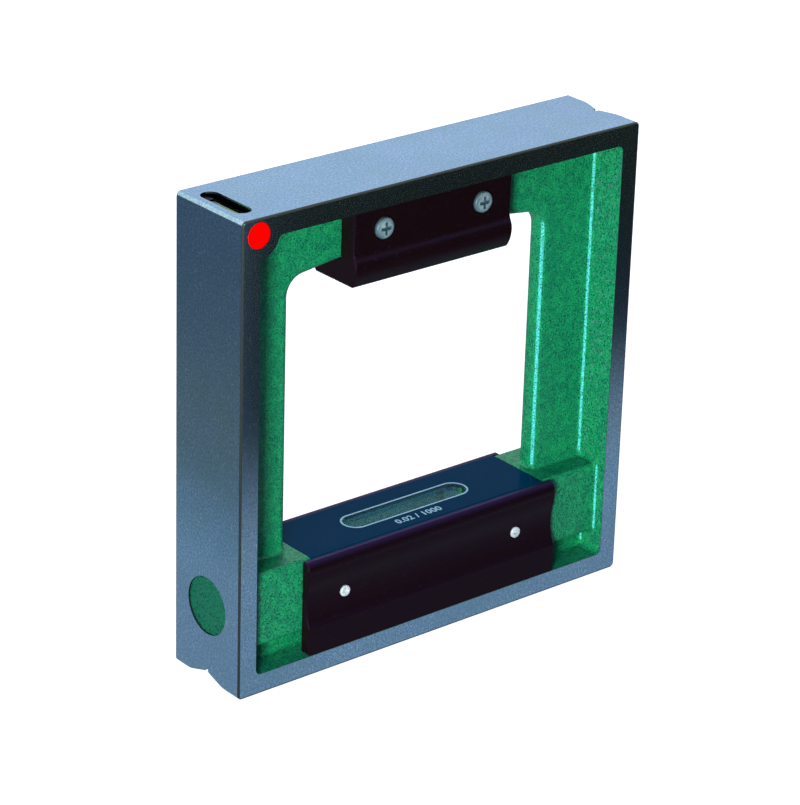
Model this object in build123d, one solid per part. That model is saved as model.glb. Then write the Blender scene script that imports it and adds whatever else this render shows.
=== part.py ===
from build123d import *
from math import cos, radians, sin, sqrt, tan
import os

# Square frame level, in millimetres. X runs left to right along the front face, Y from front to rear,
# Z up. The origin is the middle of the base.

# Cast frame: four rims round a thin web with a hand opening
frame_side = 200.0
frame_depth = 42.0
rim_wall = 8.5
outline_round = 2.0
edge_break = 0.5
web_wall = 9.0
recess_corner = 2.6
recess_fillet = 2.4
opening_margin = 35.2
lintel_height = 23.0
opening_camber = 5.2
opening_corner = 8.0
opening_round = 3.0

# Ways ground along the base and the right side
way_half_width = 14.0
way_angle = 144.0
way_shoulder_round = 20.0
way_relief_width = 2.0
way_relief_depth = 1.0

# Vial housing across the foot of the frame, on a narrower neck
neck_inset = 7.5
neck_height = 9.0
neck_fillet = 2.0
housing_inset = 5.0
housing_height = 31.5
housing_round = 2.0
junction_fillet = 1.9

# Bore through the housing: vial chamber, adjuster seat and cap seat
chamber_radius = 10.0
adjuster_seat_radius = 11.4
adjuster_seat_depth = 16.0
cap_radius = 12.25
cap_wall = 3.1
cap_sink = 0.9

# Plate and window pane on the housing
plate_margin = 39.0
plate_wall = 2.5
plate_edge_round = 0.5
window_length = 62.5
window_width = 11.0
pane_lip = 2.0
pane_lip_wall = 1.2
light_slot_margin = 0.5

# Moulded covers each side of the housing
cover_margin = 35.0
cover_foot_wall = 4.8
cover_foot_height = 12.0
cover_waist_wall = 2.2
cover_waist_height = 22.3
cover_crown_wall = 3.9
cover_crown_drop = 5.0
cover_shoulder_fall = 0.9
cover_top_drop = 0.4
cover_end_break = 0.6

# Cover screws
cover_screw_inset = 20.0
cover_screw_radius = 1.25
cover_screw_head_radius = 2.4
cover_screw_head_height = 1.6
cover_screw_bite = 4.4
cover_screw_sink = 0.8
cover_screw_pocket_radius = 2.9
point_break = 0.3

# Two-half moulded grip under the top rim
grip_margin = 60.0
grip_top_wall = 8.2
grip_waist_wall = 7.7
grip_lip_wall = 9.5
grip_foot_wall = 6.7
grip_height = 34.6
grip_waist_rise = 14.9
grip_lip_rise = 8.0
grip_end_break = 0.6
grip_seam_break = 0.5
grip_parting = 0.3

# Grip screws and nuts
grip_screw_inset = 15.0
grip_screw_drop = 12.5
grip_screw_radius = 2.5
grip_screw_head_radius = 4.5
grip_screw_head_height = 2.9
grip_screw_sink = 1.2
grip_screw_pocket_radius = 4.9
nut_flats = 8.0
nut_height = 4.0
nut_sink = 0.4
nut_corner_radius = 4.48
nut_chamfer = 0.48

# Pan heads, as shares of the head's height and radius
crown_share = 0.25
rim_round_share = 0.4
driver_depth_share = 0.6
driver_reach_share = 0.575
driver_blade_share = 0.32

# Main vial: glass tube with a gas bubble in liquid
vial_radius = 7.5
vial_wall = 1.5
vial_margin = 54.0
vial_end_wall = 4.0
vial_end_round = 2.4
bubble_length = 24.0
bubble_depth = 2.0

# Holder that carries the main vial
holder_radius = 8.9
holder_wall = 0.9
holder_overhang_left = 20.0
holder_overhang_right = 12.0
holder_window_inset = 12.0
holder_window_width = 13.0
holder_head = 6.0
holder_collar = 3.0
holder_spigot = 8.0
seat_length = 10.0
seat_inset = 1.5

# Ball that the holder tilts on, and its bush
ball_radius = 3.2
ball_reach = 10.0
ball_neck_radius = 2.2
ball_room = 6.0
bush_length = 10.0
bush_floor = 1.5
bush_lead = 0.5

# Eccentric zero adjuster and its lock ring
adjuster_flange = 4.0
adjuster_hub_radius = 6.0
adjuster_hub_gap = 2.0
adjuster_pin_radius = 2.0
adjuster_pin_reach = 9.0
adjuster_pin_break = 0.4
adjuster_slot_depth = 10.0
adjuster_throw = 1.2
adjuster_turn = 30.0
spanner_hole_radius = 1.3
spanner_hole_depth = 2.4
spanner_hole_reach = 5.2
lock_ring_wall = 4.0
lock_ring_bore_radius = 8.0
lock_ring_slot = 2.5
lock_ring_slot_depth = 1.5

# Cross vial in the top left corner
corner_inset = 7.8
corner_drop = 6.8
corner_boss_radius = 9.8
cross_bore_radius = 5.3
cross_slot_inset = 7.5
cross_slot_width = 8.0
cross_sleeve_inset = 7.0
cross_sleeve_wall = 1.1
cross_sleeve_window_inset = 5.0
cross_sleeve_window_width = 6.0
cross_vial_radius = 3.75
cross_vial_wall = 0.8
cross_vial_inset = 1.5
cross_vial_end_wall = 2.2
cross_vial_end_round = 1.2
cross_bubble_length = 6.0
cross_bubble_depth = 1.2
cross_seat_length = 3.0
cross_seat_inset = 0.6
plug_edge_break = 0.3

# Clearances
press_gap = 0.02
running_gap = 0.05
slot_gap = 0.08
end_play = 0.05
seam_gap = 0.1
bubble_gap = 0.15
hole_gap = 0.15
overshoot = 1.0

# Places that follow from the sizes
half_side = frame_side / 2
half_depth = frame_depth / 2
half_web = web_wall / 2
inner_side = frame_side - 2 * rim_wall
opening_width = frame_side - 2 * opening_margin
housing_width = frame_depth - 2 * housing_inset
neck_width = housing_width - 2 * neck_inset
housing_bottom = rim_wall + neck_height
housing_top = housing_bottom + housing_height
half_housing = housing_width / 2
vial_height = housing_bottom + housing_height / 2
opening_top = frame_side - rim_wall - lintel_height
opening_shoulder = opening_top - opening_camber
arch_radius = (opening_width**2 / 4 + opening_camber**2) / (2 * opening_camber)
cap_seat_x = -half_side + cap_sink + cap_wall
adjuster_seat_x = -half_side + adjuster_seat_depth
plate_length = frame_side - 2 * plate_margin
plate_floor = housing_top - plate_wall
cover_length = frame_side - 2 * cover_margin
cover_screw_x = cover_length / 2 - cover_screw_inset
cover_screw_z = rim_wall + cover_waist_height
grip_length = frame_side - 2 * grip_margin
grip_top = frame_side - rim_wall
grip_screw_x = grip_length / 2 - grip_screw_inset
grip_screw_z = grip_top - grip_screw_drop
corner_x = corner_inset - half_side
corner_z = frame_side - corner_drop
vial_length = frame_side - 2 * vial_margin
cavity_radius = vial_radius - vial_wall
cavity_length = vial_length - 2 * vial_end_wall
holder_left = vial_length / 2 + holder_overhang_left
holder_right = vial_length / 2 + holder_overhang_right
holder_face_x = -holder_left - holder_head
ball_x = holder_right + ball_reach
chamber_end = ball_x + ball_room
cross_slot_length = frame_depth - 2 * cross_slot_inset
cross_sleeve_length = frame_depth - 2 * cross_sleeve_inset
cross_vial_length = cross_sleeve_length - 2 * cross_vial_inset
cross_cavity_radius = cross_vial_radius - cross_vial_wall
cross_cavity_length = cross_vial_length - 2 * cross_vial_end_wall


def rod_x(radius, x_from, x_to, y=0.0, z=vial_height):
    """Round bar along X."""
    start = Plane(origin=(x_from, y, z), x_dir=(0, 1, 0), z_dir=(1, 0, 0))
    return extrude(start * Circle(radius), x_to - x_from)


def rod_y(radius, y_from, y_to, x, z):
    """Round bar along Y."""
    start = Plane(origin=(x, y_from, z), x_dir=(1, 0, 0), z_dir=(0, 1, 0))
    return extrude(start * Circle(radius), y_to - y_from)


def slab(x_range, y_range, z_range):
    """Rectangular block between pairs of coordinates."""
    low = Vector(x_range[0], y_range[0], z_range[0])
    size = Vector(x_range[1], y_range[1], z_range[1]) - low
    return Pos(low) * Box(size.X, size.Y, size.Z, align=Align.MIN)


def flat_stadium(length, width, z_from, z_to):
    """Round-ended block lying along X on the housing's middle line."""
    return extrude(Pos(0, 0, z_from) * SlotOverall(length, width), z_to - z_from)


def mirror_rear(front):
    """The same piece on the rear of the frame."""
    return mirror(front, Plane.XZ)


# Frame casting

def recess_cutter():
    """Hollow in the front of the frame, round the corner boss, down to the web."""
    outline = Pos(0, half_side) * Rectangle(inner_side, inner_side)
    outline -= Pos(corner_x, corner_z) * Circle(corner_boss_radius)
    outline = fillet(outline.vertices(), recess_corner)
    cutter = extrude(Plane.XZ.offset(half_web) * outline, half_depth)
    return fillet(cutter.faces().sort_by(Axis.Y)[-1].edges(), recess_fillet)


def opening_outline():
    """Hand opening above the housing: straight sides, and a gently arched top with rounded corners."""
    half_width = opening_width / 2
    with BuildSketch() as outline:
        with BuildLine():
            sides = Polyline(
                (half_width, opening_shoulder),
                (half_width, vial_height),
                (-half_width, vial_height),
                (-half_width, opening_shoulder),
            )
            ThreePointArc(sides @ 1, (0, opening_top), sides @ 0)
        make_face()
        fillet(outline.vertices().group_by(Axis.Y)[-1], opening_corner)
    return outline.sketch


def open_web():
    """Outer block with both recesses and the hand opening, its edges rounded."""
    block = slab((-half_side, half_side), (-half_depth, half_depth), (0, frame_side))
    block = fillet(block.edges().filter_by(Axis.Y), outline_round)
    faces = block.faces().group_by(Axis.Y)
    block = chamfer(faces[0].edges() + faces[-1].edges(), edge_break)
    recess = recess_cutter()
    block = block - recess - mirror_rear(recess)
    block -= extrude(Plane.XZ * opening_outline(), half_web + overshoot, both=True)
    mouth = [
        edge
        for edge in block.edges()
        if abs(abs(edge.center().Y) - half_web) < press_gap
        and abs(edge.center().X) <= opening_width / 2 + press_gap
        and vial_height + press_gap < edge.center().Z <= opening_top + press_gap
    ]
    return fillet(mouth, opening_round)


def housing_bar():
    """Vial housing and neck as one profile along X, between the side rims."""
    neck = Pos(0, rim_wall) * Rectangle(neck_width, neck_height + overshoot, align=(Align.CENTER, Align.MIN))
    shelf = Pos(0, rim_wall) * Rectangle(housing_width, overshoot, align=(Align.CENTER, Align.MAX))
    housing = Pos(0, housing_bottom) * Rectangle(
        housing_width, housing_height, align=(Align.CENTER, Align.MIN)
    )
    housing = fillet(housing.vertices(), housing_round)
    profile = neck + shelf + housing
    roots = [
        corner
        for corner in profile.vertices()
        if abs(abs(corner.X) - neck_width / 2) < press_gap
    ]
    profile = fillet(roots, neck_fillet)
    length = half_side - rim_wall / 2
    return extrude(Plane.YZ * profile, length, both=True)


def way_cutter():
    """Wide V with rounded shoulders and a narrow relief groove at its root, open downwards, along X."""
    slope = radians(90 - way_angle / 2)
    depth = way_half_width * tan(slope)
    setback = way_shoulder_round * tan(slope / 2)
    with BuildSketch() as section:
        with BuildLine():
            flank = Line(
                (0, depth),
                (way_half_width - setback * cos(slope), setback * sin(slope)),
            )
            shoulder = TangentArc(flank @ 1, (way_half_width + setback, 0), tangent=flank % 1)
            Polyline(shoulder @ 1, (way_half_width + setback, -overshoot), (0, -overshoot))
            mirror(about=Plane.YZ)
        make_face()
        Rectangle(way_relief_width, depth + way_relief_depth, align=(Align.CENTER, Align.MIN))
    return extrude(Plane.YZ * section.sketch, half_side + overshoot, both=True)


def side_way_cutter():
    """The same V up the right side."""
    upright = Rotation(0, -90, 0) * way_cutter()
    return Pos(half_side, 0, half_side) * upright


def vial_bore():
    """Stepped bore from the left face, with the light slot and the plate's seat above it."""
    bore = rod_x(chamber_radius, -half_side, chamber_end)
    bore += rod_x(adjuster_seat_radius, -half_side, adjuster_seat_x)
    bore += rod_x(cap_radius, -half_side - overshoot, cap_seat_x)
    bore += flat_stadium(
        window_length + 2 * light_slot_margin,
        window_width + 2 * light_slot_margin,
        vial_height,
        housing_top,
    )
    seat = slab(
        (-plate_length / 2, plate_length / 2),
        (-half_housing - overshoot, half_housing + overshoot),
        (plate_floor, housing_top + overshoot),
    )
    return bore + seat


def cross_bore():
    """Blind bore from the front for the cross vial, with the sight slot in the top face."""
    bore = rod_y(
        cross_bore_radius, -half_depth - overshoot, cross_sleeve_length / 2, corner_x, corner_z
    )
    slot = Rotation(0, 0, 90) * SlotOverall(cross_slot_length, cross_slot_width)
    return bore + extrude(Pos(corner_x, 0, corner_z) * slot, corner_drop + overshoot)


def junction_edges(casting):
    """Edges where the housing and neck meet the side rims, and where the web stands on the housing."""
    inner = half_side - rim_wall
    edges = []
    for edge in casting.edges():
        box = edge.bounding_box()
        reach_y = max(abs(box.min.Y), abs(box.max.Y))
        on_rim = box.size.X < press_gap and abs(abs(box.min.X) - inner) < press_gap
        at_housing = rim_wall - press_gap < box.min.Z and box.max.Z < housing_top + press_gap
        on_housing = abs(box.min.Z - housing_top) < press_gap and box.size.Z < press_gap
        at_web = min(abs(box.min.X), abs(box.max.X)) > opening_width / 2 - press_gap
        if on_rim and at_housing and reach_y < half_housing + press_gap:
            edges.append(edge)
        elif on_housing and at_web and reach_y < half_web + opening_round + press_gap:
            edges.append(edge)
    return edges


def frame():
    """Cast and ground frame."""
    body = open_web() + housing_bar()
    body = fillet(junction_edges(body), junction_fillet)
    body = body - way_cutter() - side_way_cutter() - vial_bore() - cross_bore()
    for x in (-cover_screw_x, cover_screw_x):
        hole = rod_y(
            cover_screw_radius + press_gap,
            -half_housing - overshoot,
            -half_housing + cover_screw_bite + seam_gap,
            x,
            cover_screw_z,
        )
        body = body - hole - mirror_rear(hole)
    for x in (-grip_screw_x, grip_screw_x):
        body -= rod_y(grip_screw_radius + hole_gap, -half_depth, half_depth, x, grip_screw_z)
    return body


# Screws and nuts

def cross_recess(radius, depth):
    """Cross-shaped driver recess, cut down from the top of a head."""
    reach = 2 * radius * driver_reach_share
    blade = radius * driver_blade_share
    arms = Rectangle(reach, blade) + Rectangle(blade, reach)
    return extrude(Pos(0, 0, -depth) * arms, depth + overshoot)


def pan_screw(head_radius, head_height, shank_radius, shank_length):
    """Cross-recess screw standing on +Z, with the underside of its head at the origin."""
    shoulder = head_height * (1 - crown_share)
    with BuildPart() as screw:
        with BuildSketch(Plane.XZ):
            with BuildLine():
                side = Polyline(
                    (0, head_height),
                    (0, -shank_length),
                    (shank_radius - point_break, -shank_length),
                    (shank_radius, -shank_length + point_break),
                    (shank_radius, 0),
                    (head_radius, 0),
                    (head_radius, shoulder),
                )
                TangentArc(side @ 0, side @ 1, tangent=(1, 0))
            make_face()
            rim = vertices().group_by(Axis.X)[-1].sort_by(Axis.Y)[-1]
            fillet(rim, head_height * rim_round_share)
        revolve(axis=Axis.Z)
    driver = cross_recess(head_radius, head_height * driver_depth_share)
    return screw.part - Pos(0, 0, head_height) * driver


def facing_front(piece, x, y, z):
    """Turn a piece that stands on +Z so that it faces the front, and place it."""
    return Pos(x, y, z) * Rotation(90, 0, 0) * piece


def front_cover_screws():
    """Two screws through the waist of the front cover."""
    seat_wall = cover_waist_wall - cover_screw_sink
    screw = pan_screw(
        cover_screw_head_radius,
        cover_screw_head_height,
        cover_screw_radius,
        seat_wall + cover_screw_bite,
    )
    seat_y = -half_housing - seat_wall
    places = (-cover_screw_x, cover_screw_x)
    return Compound([facing_front(screw, x, seat_y, cover_screw_z).solid() for x in places])


def grip_screw_length():
    """Shank length from the seat in the front half to the outer face of the nut."""
    return 2 * half_web + 2 * grip_waist_wall - grip_screw_sink - nut_sink


def grip_screws():
    """Two screws through both grip halves and the web."""
    screw = pan_screw(
        grip_screw_head_radius, grip_screw_head_height, grip_screw_radius, grip_screw_length()
    )
    seat_y = -half_web - grip_waist_wall + grip_screw_sink
    places = (-grip_screw_x, grip_screw_x)
    return Compound([facing_front(screw, x, seat_y, grip_screw_z).solid() for x in places])


def hexagon(flats):
    """Hexagon by its distance across flats."""
    return RegularPolygon(flats / 2, 6, major_radius=False)


def grip_nuts():
    """Two nuts let into the rear half of the grip."""
    outline = hexagon(nut_flats) - Circle(grip_screw_radius + press_gap)
    nut = extrude(outline, nut_height)
    turned = extrude(Circle(nut_corner_radius), nut_height)
    nut &= chamfer(turned.edges().filter_by(GeomType.CIRCLE), nut_chamfer)
    outer_y = half_web + grip_waist_wall - nut_sink
    places = (-grip_screw_x, grip_screw_x)
    return Compound([facing_front(nut, x, outer_y, grip_screw_z).solid() for x in places])


# Mouldings

def break_ends(moulding, inner_reach, amount):
    """Chamfer the outer edges of a front moulding's two end faces."""
    layers = moulding.faces().group_by(Axis.X)
    ends = layers[0] + layers[-1]
    outer = [edge for face in ends for edge in face.edges() if edge.center().Y < -inner_reach]
    return chamfer(outer, amount)


def cover_profile():
    """Ogee section of a cover: outward distance from the housing's side, and height."""
    top = housing_top - cover_top_drop
    crown = top - cover_crown_drop
    with BuildSketch() as section:
        with BuildLine():
            foot = Polyline(
                (0, top),
                (0, rim_wall + seam_gap),
                (cover_foot_wall, rim_wall + seam_gap),
                (cover_foot_wall, rim_wall + cover_foot_height),
            )
            waist = Vector(cover_waist_wall, cover_screw_z)
            swell = Vector(cover_crown_wall, crown)
            TangentArc(waist, foot @ 1, tangent=(0, -1))
            rise = TangentArc(waist, (waist + swell) / 2, tangent=(0, 1))
            ogee = TangentArc(rise @ 1, swell, tangent=rise % 1)
            shoulder = ThreePointArc(
                ogee @ 1,
                (cover_crown_wall - cover_shoulder_fall, top - cover_shoulder_fall),
                (cover_crown_wall / 2, top),
            )
            Line(shoulder @ 1, foot @ 0)
        make_face()
    return section.sketch


def front_cover():
    """Front cover over the housing, with two sunk screw holes in its waist."""
    side = Plane(origin=(0, -half_housing, 0), x_dir=(0, -1, 0), z_dir=(-1, 0, 0))
    cover = extrude(side * cover_profile(), cover_length / 2, both=True)
    cover = break_ends(cover, half_housing + seam_gap, cover_end_break)
    for x in (-cover_screw_x, cover_screw_x):
        cover -= rod_y(cover_screw_radius + hole_gap, -half_depth, 0, x, cover_screw_z)
        cover -= rod_y(
            cover_screw_pocket_radius,
            -half_depth - overshoot,
            -half_housing - cover_waist_wall + cover_screw_sink,
            x,
            cover_screw_z,
        )
    return cover


def arch_drop(reach):
    """Fall of the opening's arch below its crown, at a distance from the middle."""
    return arch_radius - sqrt(arch_radius**2 - reach**2)


def break_parting(moulding, amount):
    """Chamfer a front moulding's parting face along its foot and its ends."""
    parting = moulding.faces().sort_by(Axis.Y)[-1]
    return chamfer(parting.edges().sort_by(Axis.Z)[:-1], amount)


def grip_profile():
    """Section of a grip half: outward distance from the frame's middle plane, and height."""
    top = grip_top - seam_gap
    foot = grip_top - grip_height
    relief = recess_fillet + seam_gap
    parting = grip_parting / 2
    under_lintel = opening_top - arch_drop(grip_length / 2) - seam_gap
    with BuildSketch() as section:
        with BuildLine():
            inner = Polyline(
                (half_web + grip_foot_wall, foot),
                (parting, foot),
                (parting, under_lintel),
                (half_web, under_lintel),
                (half_web, grip_top - relief - seam_gap),
                (half_web + relief, top),
                (half_web + grip_top_wall, top),
            )
            waist = Vector(half_web + grip_waist_wall, foot + grip_waist_rise)
            lip = Vector(half_web + grip_lip_wall, foot + grip_lip_rise)
            TangentArc(waist, inner @ 1, tangent=(0, 1))
            swell = TangentArc(waist, (waist + lip) / 2, tangent=(0, -1))
            TangentArc(swell @ 1, lip, tangent=swell % 1)
            TangentArc(lip, inner @ 0, tangent=(0, -1))
        make_face()
    return section.sketch


def grip_half():
    """Front half of the grip, with a clear hole at each screw."""
    side = Plane(origin=(0, 0, 0), x_dir=(0, -1, 0), z_dir=(-1, 0, 0))
    grip = extrude(side * grip_profile(), grip_length / 2, both=True)
    grip = break_parting(grip, grip_seam_break)
    grip = break_ends(grip, half_web + seam_gap, grip_end_break)
    for x in (-grip_screw_x, grip_screw_x):
        grip -= rod_y(grip_screw_radius + hole_gap, -half_depth, 0, x, grip_screw_z)
    return grip


def front_grip():
    """Front half, with a round pocket for each screw head."""
    grip = grip_half()
    seat_y = -half_web - grip_waist_wall + grip_screw_sink
    for x in (-grip_screw_x, grip_screw_x):
        grip -= rod_y(grip_screw_pocket_radius, -half_depth, seat_y, x, grip_screw_z)
    return grip


def rear_grip():
    """Rear half, with a hexagon pocket for each nut."""
    grip = mirror_rear(grip_half())
    seat_y = half_web + grip_waist_wall - nut_sink - nut_height
    pocket = extrude(hexagon(nut_flats + 2 * hole_gap), half_depth - seat_y)
    for x in (-grip_screw_x, grip_screw_x):
        grip -= Pos(x, seat_y, grip_screw_z) * Rotation(-90, 0, 0) * pocket
    return grip


# Plate and pane

def window_plate():
    """Dark plate with a round-ended window, rebated below for the pane."""
    half = plate_length / 2 - seam_gap
    plate = slab((-half, half), (-half_housing + seam_gap, half_housing - seam_gap), (plate_floor, housing_top))
    plate = fillet(plate.edges().group_by(Axis.Z)[-1], plate_edge_round)
    plate -= flat_stadium(window_length, window_width, plate_floor - overshoot, housing_top + overshoot)
    plate -= flat_stadium(
        window_length + 2 * pane_lip,
        window_width + 2 * pane_lip,
        plate_floor - overshoot,
        plate_floor + pane_lip_wall,
    )
    return plate


def window_glass():
    """Clear pane, stepped so that the plate holds it down on the housing."""
    upper = flat_stadium(
        window_length - 2 * press_gap, window_width - 2 * press_gap, plate_floor, housing_top
    )
    lip = flat_stadium(
        window_length + 2 * (pane_lip - seam_gap),
        window_width + 2 * (pane_lip - seam_gap),
        plate_floor,
        plate_floor + pane_lip_wall,
    )
    return upper + lip


# Main vial, its holder and the zero adjuster

def round_ended_bar(radius, length, end_round):
    """Bar along X at the main vial's axis, with rounded ends."""
    bar = rod_x(radius, -length / 2, length / 2)
    return fillet(bar.edges().filter_by(GeomType.CIRCLE), end_round)


def bubble_shape(radius, depth, length, grow):
    """Gas pool under the crown of a bore along X: flat below, round ended in plan."""
    level = radius - depth - grow
    half_width = sqrt((radius + grow) ** 2 - level ** 2) + grow
    pool = SlotOverall(length + 2 * grow, 2 * half_width)
    return extrude(Pos(0, 0, level) * pool, depth + 2 * grow + overshoot)


def filled_cavity(radius, length, end_round, depth, pool_length):
    """Liquid and bubble that share one cavity along X, centred on the origin."""
    cavity = Rotation(0, 90, 0) * Cylinder(radius - press_gap, length - 2 * press_gap)
    cavity = fillet(cavity.edges().filter_by(GeomType.CIRCLE), end_round)
    liquid = cavity - bubble_shape(radius, depth, pool_length, bubble_gap)
    crown = Rotation(0, 90, 0) * Cylinder(radius - bubble_gap, pool_length + overshoot)
    bubble = crown & bubble_shape(radius, depth, pool_length, 0)
    return liquid, bubble


def main_vial_glass():
    """Glass tube closed at both ends."""
    outer = round_ended_bar(vial_radius, vial_length, vial_end_round)
    return outer - round_ended_bar(cavity_radius, cavity_length, vial_end_round)


def main_vial_contents():
    """Liquid and bubble of the main vial."""
    liquid, bubble = filled_cavity(
        cavity_radius, cavity_length, vial_end_round, bubble_depth, bubble_length
    )
    return Pos(0, 0, vial_height) * liquid, Pos(0, 0, vial_height) * bubble


def main_vial_seats():
    """Two collars of cement that hold the glass in its tube."""
    outer = holder_radius - holder_wall - press_gap
    end = vial_length / 2 - seat_inset
    collar = rod_x(outer, end - seat_length, end) - rod_x(vial_radius + press_gap, 0, vial_length)
    return Compound([collar.solid(), mirror(collar, Plane.YZ).solid()])


def vial_holder():
    """Tube round the main vial, cut open above the graduations."""
    tube = rod_x(holder_radius, -holder_left, holder_right)
    tube -= rod_x(holder_radius - holder_wall, -holder_left - overshoot, holder_right + overshoot)
    return tube - flat_stadium(
        vial_length - 2 * holder_window_inset, holder_window_width, vial_height, vial_height + chamber_radius
    )


def spigot_radius():
    """Plugs are pressed in the holder's tube."""
    return holder_radius - holder_wall - press_gap


def holder_adjuster_plug():
    """Left plug of the holder, with a level slot for the eccentric pin."""
    plug = rod_x(holder_radius, holder_face_x, -holder_left)
    plug += rod_x(spigot_radius(), -holder_left, -holder_left + holder_spigot)
    swing = adjuster_throw * (1 - sqrt(1 - sin(radians(adjuster_turn)) ** 2))
    length = 2 * (adjuster_pin_radius + slot_gap) + swing + slot_gap
    slot = SlotOverall(length, 2 * (adjuster_pin_radius + slot_gap))
    mouth = Plane(
        origin=(holder_face_x - overshoot, adjuster_throw - swing / 2, vial_height),
        x_dir=(0, 1, 0),
        z_dir=(1, 0, 0),
    )
    return plug - extrude(mouth * slot, overshoot + adjuster_slot_depth)


def holder_pivot_plug():
    """Right plug of the holder, with the ball that it tilts on."""
    plug = rod_x(spigot_radius(), holder_right - holder_spigot, holder_right)
    plug += rod_x(holder_radius, holder_right, holder_right + holder_collar)
    plug += rod_x(ball_neck_radius, holder_right, ball_x)
    return plug + Pos(ball_x, 0, vial_height) * Sphere(ball_radius)


def pivot_bush():
    """Socket for the ball, pressed in the blind end of the chamber."""
    mouth = chamber_end - bush_length
    bush = rod_x(chamber_radius - press_gap, mouth, chamber_end)
    bush = bush - rod_x(ball_radius + running_gap, mouth - overshoot, chamber_end - bush_floor)
    rim = bush.faces().sort_by(Axis.X)[0].inner_wires()[0].edges()
    return chamfer(rim, bush_lead)


def zero_adjuster():
    """Eccentric: flange, hub and offset pin, with two blind spanner holes."""
    flange_end = adjuster_seat_x - end_play
    flange = rod_x(adjuster_seat_radius - running_gap, flange_end - adjuster_flange, flange_end)
    hub_end = holder_face_x - adjuster_hub_gap
    body = flange + rod_x(adjuster_hub_radius, flange_end, hub_end)
    pin = rod_x(adjuster_pin_radius, hub_end, holder_face_x + adjuster_pin_reach, adjuster_throw)
    body += chamfer(pin.faces().sort_by(Axis.X)[-1].edges(), adjuster_pin_break)
    for side in (-1, 1):
        body -= rod_x(
            spanner_hole_radius,
            flange_end - adjuster_flange - overshoot,
            flange_end - adjuster_flange + spanner_hole_depth,
            side * spanner_hole_reach,
        )
    return body


def adjuster_lock_ring():
    """Slotted ring that screws in against the eccentric's flange."""
    inner_face = adjuster_seat_x - adjuster_flange - 2 * end_play
    outer_face = inner_face - lock_ring_wall
    ring = rod_x(adjuster_seat_radius - press_gap, outer_face, inner_face)
    ring -= rod_x(lock_ring_bore_radius, outer_face - overshoot, inner_face + overshoot)
    half_slot = lock_ring_slot / 2
    return ring - slab(
        (outer_face - overshoot, outer_face + lock_ring_slot_depth),
        (-half_slot, half_slot),
        (vial_height - adjuster_seat_radius, vial_height + adjuster_seat_radius),
    )


def bore_cap():
    """Painted disc pressed in the mouth of the bore, a little below the ground face."""
    return rod_x(cap_radius - press_gap, -half_side + cap_sink, cap_seat_x)


# Cross vial

def at_corner(piece):
    """Turn a piece made along X at the origin to lie along Y on the cross vial's axis."""
    return Pos(corner_x, 0, corner_z) * Rotation(0, 0, 90) * piece


def x_bar(radius, length):
    """Bar along X, centred on the origin."""
    return Rotation(0, 90, 0) * Cylinder(radius, length)


def cross_vial_sleeve():
    """Tube that lines the bore, open under the sight slot."""
    outer = cross_bore_radius - press_gap
    sleeve = x_bar(outer, cross_sleeve_length) - x_bar(outer - cross_sleeve_wall, cross_sleeve_length + overshoot)
    sight_length = cross_sleeve_length - 2 * cross_sleeve_window_inset
    window = SlotOverall(sight_length, cross_sleeve_window_width)
    return at_corner(sleeve - extrude(window, cross_bore_radius + overshoot))


def cross_vial_glass():
    """Short glass tube closed at both ends."""
    outer = x_bar(cross_vial_radius, cross_vial_length)
    outer = fillet(outer.edges().filter_by(GeomType.CIRCLE), cross_vial_end_round)
    inner = x_bar(cross_cavity_radius, cross_cavity_length)
    inner = fillet(inner.edges().filter_by(GeomType.CIRCLE), cross_vial_end_round)
    return at_corner(outer - inner)


def cross_vial_contents():
    """Liquid and bubble of the cross vial."""
    liquid, bubble = filled_cavity(
        cross_cavity_radius,
        cross_cavity_length,
        cross_vial_end_round,
        cross_bubble_depth,
        cross_bubble_length,
    )
    return at_corner(liquid), at_corner(bubble)


def cross_vial_seats():
    """Two collars of cement that hold the glass in its sleeve."""
    outer = cross_bore_radius - cross_sleeve_wall - 2 * press_gap
    collar = x_bar(outer, cross_seat_length) - x_bar(cross_vial_radius + press_gap, cross_seat_length)
    offset = (cross_vial_length - cross_seat_length) / 2 - cross_seat_inset
    return Compound([at_corner(Pos(side * offset, 0, 0) * collar).solid() for side in (-1, 1)])


def cross_vial_plug():
    """Red plug that closes the cross bore flush with the front face."""
    plug = rod_y(cross_bore_radius - press_gap, -half_depth, -cross_sleeve_length / 2, corner_x, corner_z)
    return chamfer(plug.edges().group_by(Axis.Y)[0], plug_edge_break)


def build_nodes():
    """Every piece by its node name."""
    main_liquid, main_bubble = main_vial_contents()
    cross_liquid, cross_bubble = cross_vial_contents()
    cover = front_cover()
    cover_screws = front_cover_screws()
    return {
        "frame": frame(),
        "front_grip": front_grip(),
        "rear_grip": rear_grip(),
        "grip_screws": grip_screws(),
        "grip_nuts": grip_nuts(),
        "front_cover": cover,
        "rear_cover": mirror_rear(cover),
        "front_cover_screws": cover_screws,
        "rear_cover_screws": mirror_rear(cover_screws),
        "window_plate": window_plate(),
        "window_glass": window_glass(),
        "bore_cap": bore_cap(),
        "adjuster_lock_ring": adjuster_lock_ring(),
        "zero_adjuster": zero_adjuster(),
        "vial_holder": vial_holder(),
        "holder_adjuster_plug": holder_adjuster_plug(),
        "holder_pivot_plug": holder_pivot_plug(),
        "pivot_bush": pivot_bush(),
        "main_vial_glass": main_vial_glass(),
        "main_vial_liquid": main_liquid,
        "main_vial_bubble": main_bubble,
        "main_vial_seats": main_vial_seats(),
        "cross_vial_sleeve": cross_vial_sleeve(),
        "cross_vial_glass": cross_vial_glass(),
        "cross_vial_liquid": cross_liquid,
        "cross_vial_bubble": cross_bubble,
        "cross_vial_seats": cross_vial_seats(),
        "cross_vial_plug": cross_vial_plug(),
    }


os.makedirs("parts", exist_ok=True)
for name, piece in build_nodes().items():
    export_step(piece, f"parts/{name}.step")
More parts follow.
